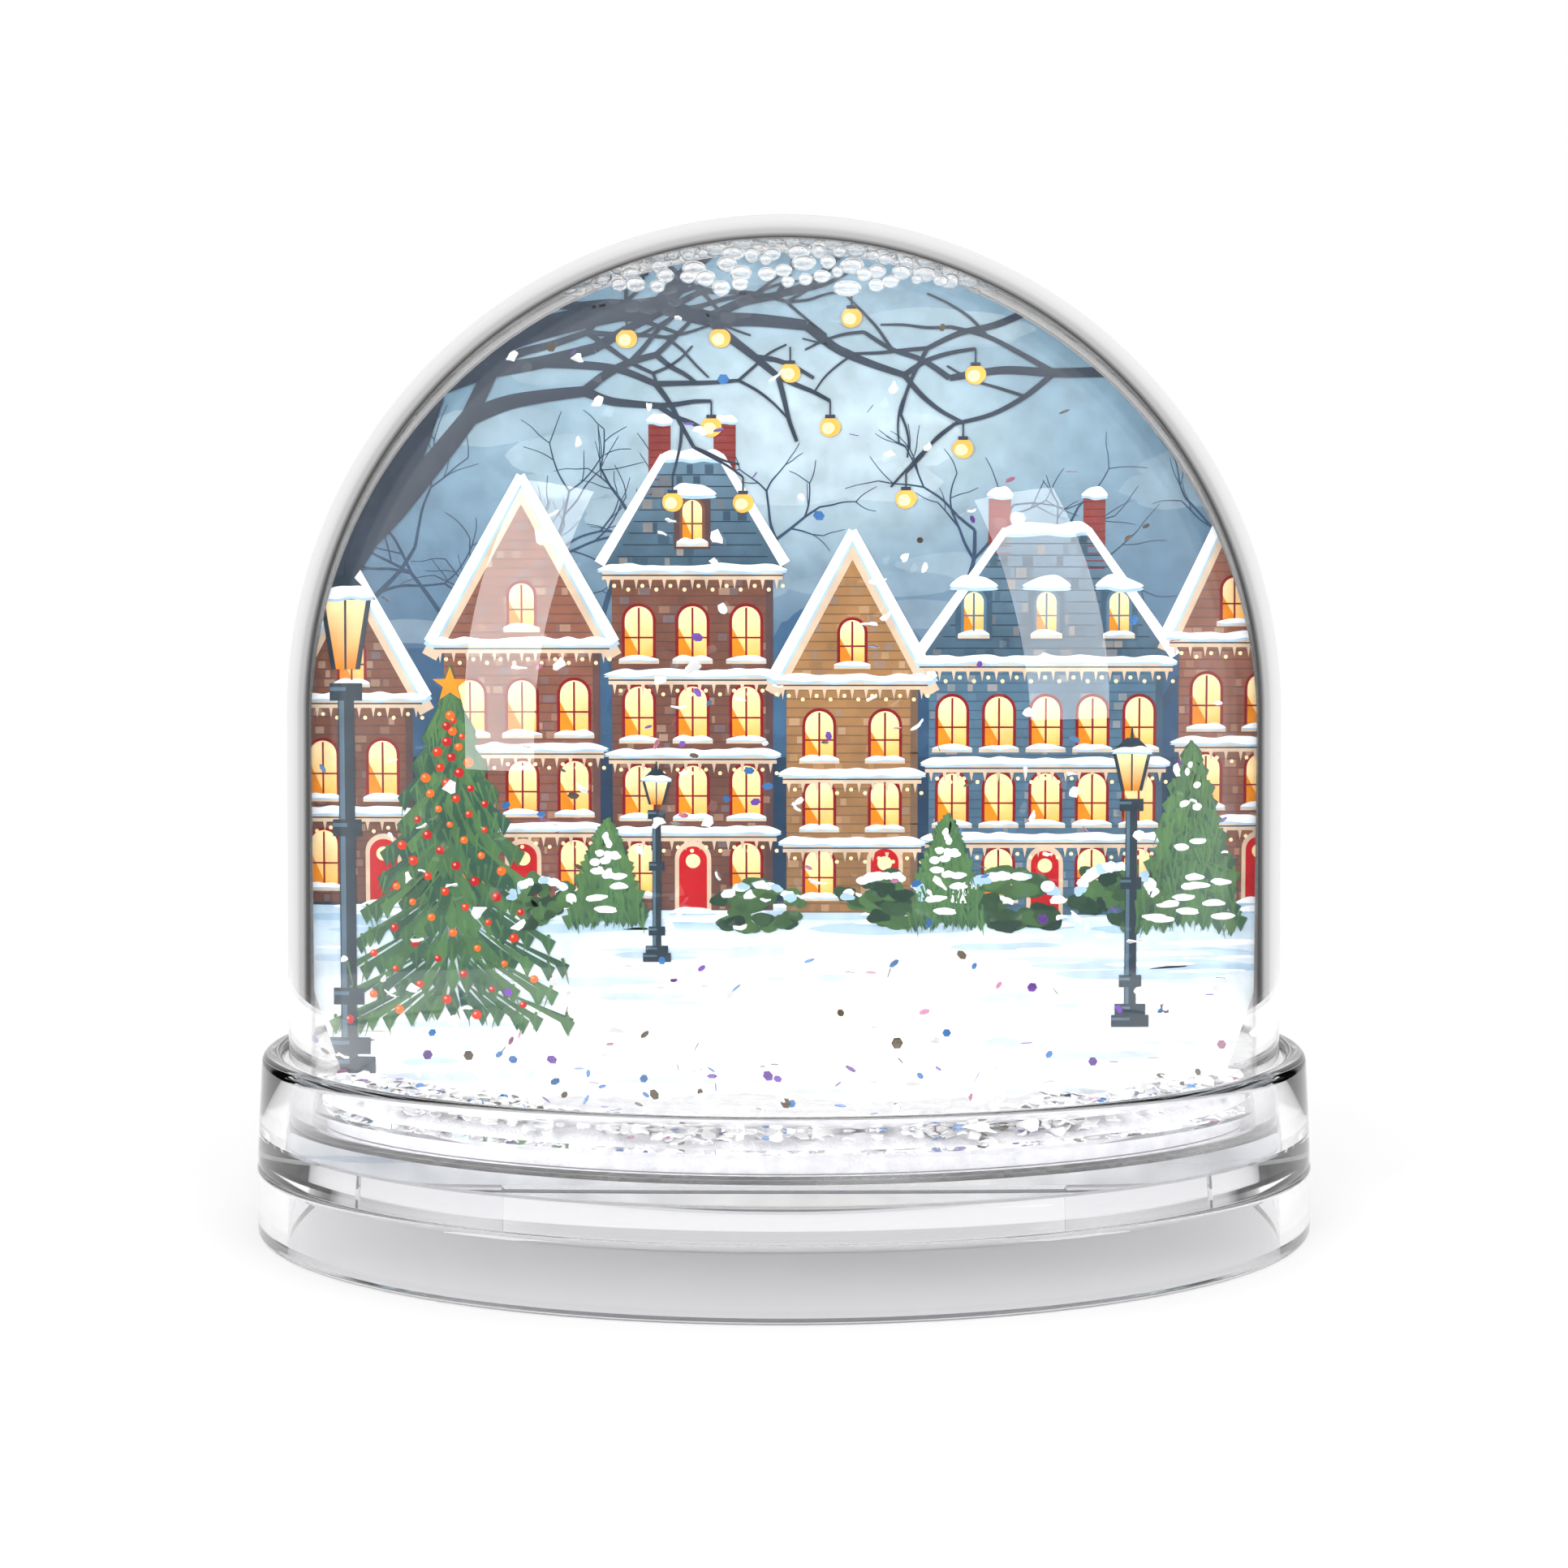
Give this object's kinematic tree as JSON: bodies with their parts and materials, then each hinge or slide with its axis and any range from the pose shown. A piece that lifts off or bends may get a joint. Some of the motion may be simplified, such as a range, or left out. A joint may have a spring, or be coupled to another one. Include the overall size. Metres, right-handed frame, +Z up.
{
  "type": "photo snow globe",
  "caption": "Clear oval snow globe: a domed, water-filled chamber with drifting flakes around a flat photo pocket, in a stepped collar on a snap-in bottom cover.",
  "frame": {"origin": "centre of the oval face that the bottom cover stands on", "axes": "+X along the width, -Y out of the front of the picture, +Z up"},
  "size_m": [0.09, 0.068, 0.0854],
  "materials": {
    "clear_base": "gloss",
    "clear_dome": "gloss",
    "clear_seal": "satin",
    "card": "matte",
    "front_picture": "gloss",
    "back_picture": "gloss",
    "water": "gloss",
    "snow": "satin",
    "glitter_violet": "gloss",
    "glitter_blue": "gloss",
    "glitter_bronze": "gloss",
    "glitter_rose": "gloss"
  },
  "bodies": {
    "cover": {"bottom_cover": "clear_base"},
    "globe": {"collar": "clear_base", "chamber_floor": "clear_base", "dome_seal": "clear_seal", "dome": "clear_dome", "pocket_sleeve": "clear_dome", "water": "water", "snow_bed": "snow", "snow_flakes": "snow", "glitter_violet": "glitter_violet", "glitter_blue": "glitter_blue", "glitter_bronze": "glitter_bronze", "glitter_rose": "glitter_rose"},
    "picture": {"card_core": "card", "front_print": "front_picture", "back_print": "back_picture"}
  },
  "joints": [
    {"name": "globe_lift", "type": "slide", "parent": "cover", "child": "globe", "axis": [0, 0, 1], "range_m": [0, 0.1]},
    {"name": "picture_slide", "type": "slide", "parent": "globe", "child": "picture", "axis": [0, 0, -1], "range_m": [0, 0.076]}
  ],
  "couplings": [
    {"joint": "picture_slide", "follows": "globe_lift", "ratio": 0.76}
  ]
}
